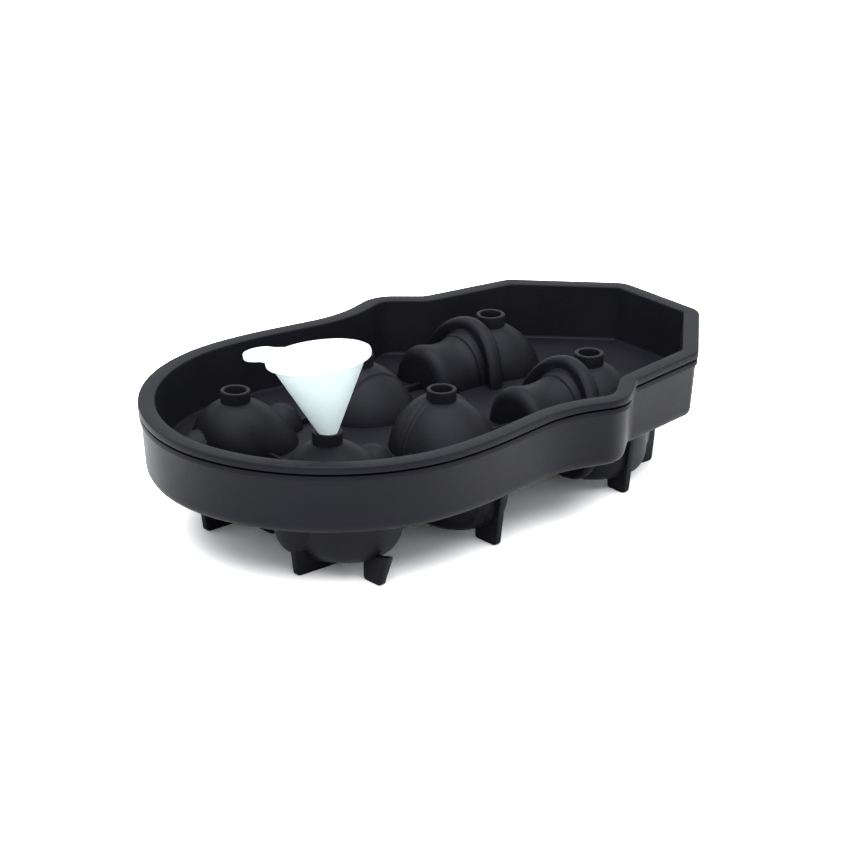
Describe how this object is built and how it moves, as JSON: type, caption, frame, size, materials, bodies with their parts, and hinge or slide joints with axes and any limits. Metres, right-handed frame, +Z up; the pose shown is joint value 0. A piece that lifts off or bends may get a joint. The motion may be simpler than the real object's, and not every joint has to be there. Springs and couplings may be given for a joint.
{
  "type": "skull ice mold",
  "caption": "Two-part flexible ice mould with skull-shaped cavities, some in top hats, fill necks in a skull-shaped tray, and a small filling funnel.",
  "frame": {"origin": "on the table under the middle of the trays' length and width", "axes": "+Z up, +X along the trays towards the chin of their skull outline, +Y to the left"},
  "size_m": [0.237, 0.1408, 0.0822],
  "materials": {
    "silicone": "satin",
    "funnel": "satin"
  },
  "bodies": {
    "root": {"lower_tray": "silicone", "upper_tray": "silicone", "funnel": "funnel"}
  },
  "joints": []
}
